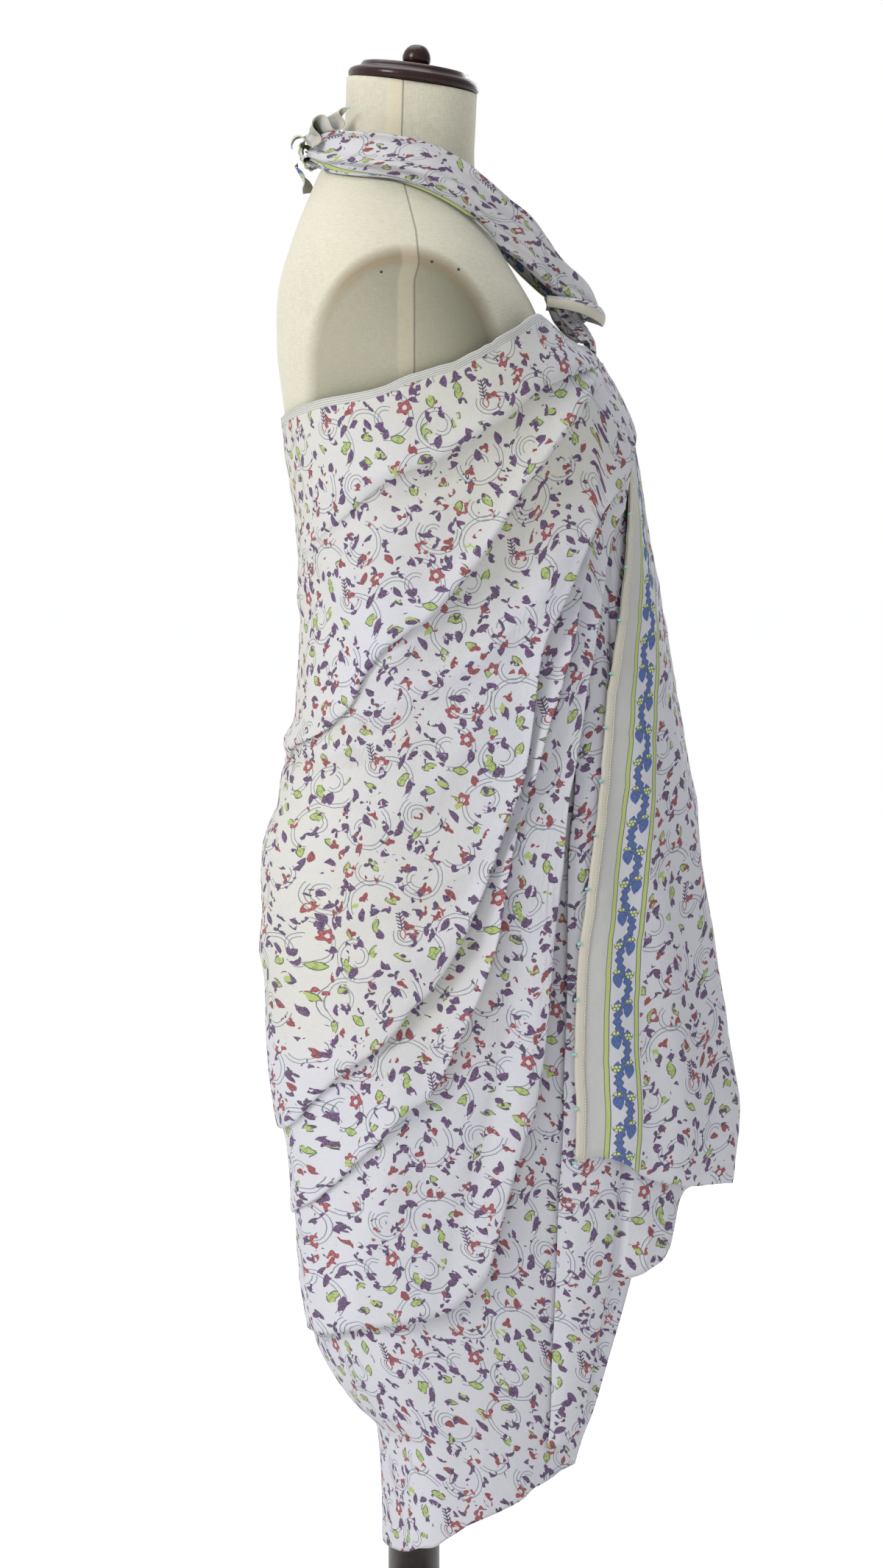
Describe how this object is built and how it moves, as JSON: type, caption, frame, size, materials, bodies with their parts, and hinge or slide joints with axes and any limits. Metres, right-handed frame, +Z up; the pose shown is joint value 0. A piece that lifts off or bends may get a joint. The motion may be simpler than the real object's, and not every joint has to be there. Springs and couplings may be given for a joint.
{
  "type": "sarong on a dress form",
  "caption": "Printed cotton sarong wrapped round a limbless dress form, caught at the chest and tied behind the neck, with swagged folds and a stepped hem.",
  "frame": {"origin": "on the floor, at the middle of the stand's base", "axes": "+Z up along the pole, -Y the way the form faces, -X its right side, where the sarong's swag and steps are"},
  "size_m": [0.4, 0.4971, 1.6174],
  "materials": {
    "cotton_voile": "soft matt printed cotton",
    "turned_hem": "soft matt stitched cotton",
    "linen_cover": "plain weave, matt",
    "dark_wood": "dark polished varnish",
    "dark_pole": "dark satin paint"
  },
  "bodies": {
    "root": {"form_torso": "linen_cover", "form_neck_cap": "dark_wood", "form_cap_knob": "dark_wood", "form_pole": "dark_pole", "form_base_collar": "dark_pole", "form_base": "dark_pole", "sarong_outer_turn": "cotton_voile", "sarong_inner_turn": "cotton_voile", "sarong_front_cascade": "cotton_voile", "sarong_end_hem": "turned_hem", "sarong_right_strap": "cotton_voile", "sarong_left_strap": "cotton_voile", "sarong_chest_twist": "cotton_voile", "sarong_chest_loop": "cotton_voile", "sarong_nape_knot": "cotton_voile", "sarong_nape_tail_right": "cotton_voile", "sarong_nape_tail_left": "cotton_voile"}
  },
  "joints": []
}
